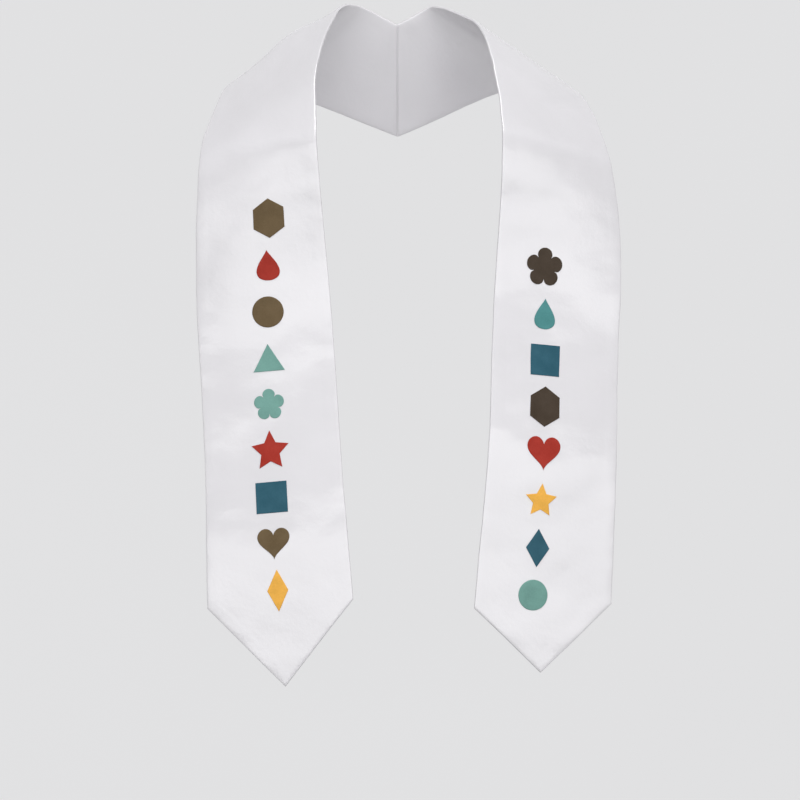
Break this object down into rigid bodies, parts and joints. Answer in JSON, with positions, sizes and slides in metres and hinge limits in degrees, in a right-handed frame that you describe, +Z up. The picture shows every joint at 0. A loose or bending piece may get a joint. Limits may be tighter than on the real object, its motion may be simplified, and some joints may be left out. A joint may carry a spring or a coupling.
{
  "type": "graduation stole",
  "caption": "Satin graduation stole, laid open around the neck and over the shoulders, with pointed front ends and a column of small printed shapes down each panel.",
  "frame": {"origin": "middle of the open neck hollow, level with where the stole rests on the shoulders beside the neck", "axes": "+X to the right as the front is looked at, +Y to the back, +Z up"},
  "size_m": [0.339, 0.1791, 0.5402],
  "materials": {
    "satin": "satin",
    "print_brown": "printed film",
    "print_umber": "printed film",
    "print_red": "printed film",
    "print_sage": "printed film",
    "print_teal": "printed film",
    "print_petrol": "printed film",
    "print_amber": "printed film"
  },
  "bodies": {
    "root": {"left_half": "satin", "right_half": "satin", "left_hexagon": "print_brown", "left_drop": "print_red", "left_disc": "print_brown", "left_triangle": "print_sage", "left_flower": "print_sage", "left_star": "print_red", "left_square": "print_petrol", "left_heart": "print_brown", "left_diamond": "print_amber", "right_flower": "print_umber", "right_drop": "print_teal", "right_square": "print_petrol", "right_hexagon": "print_umber", "right_heart": "print_red", "right_star": "print_amber", "right_diamond": "print_petrol", "right_disc": "print_sage"}
  },
  "joints": []
}
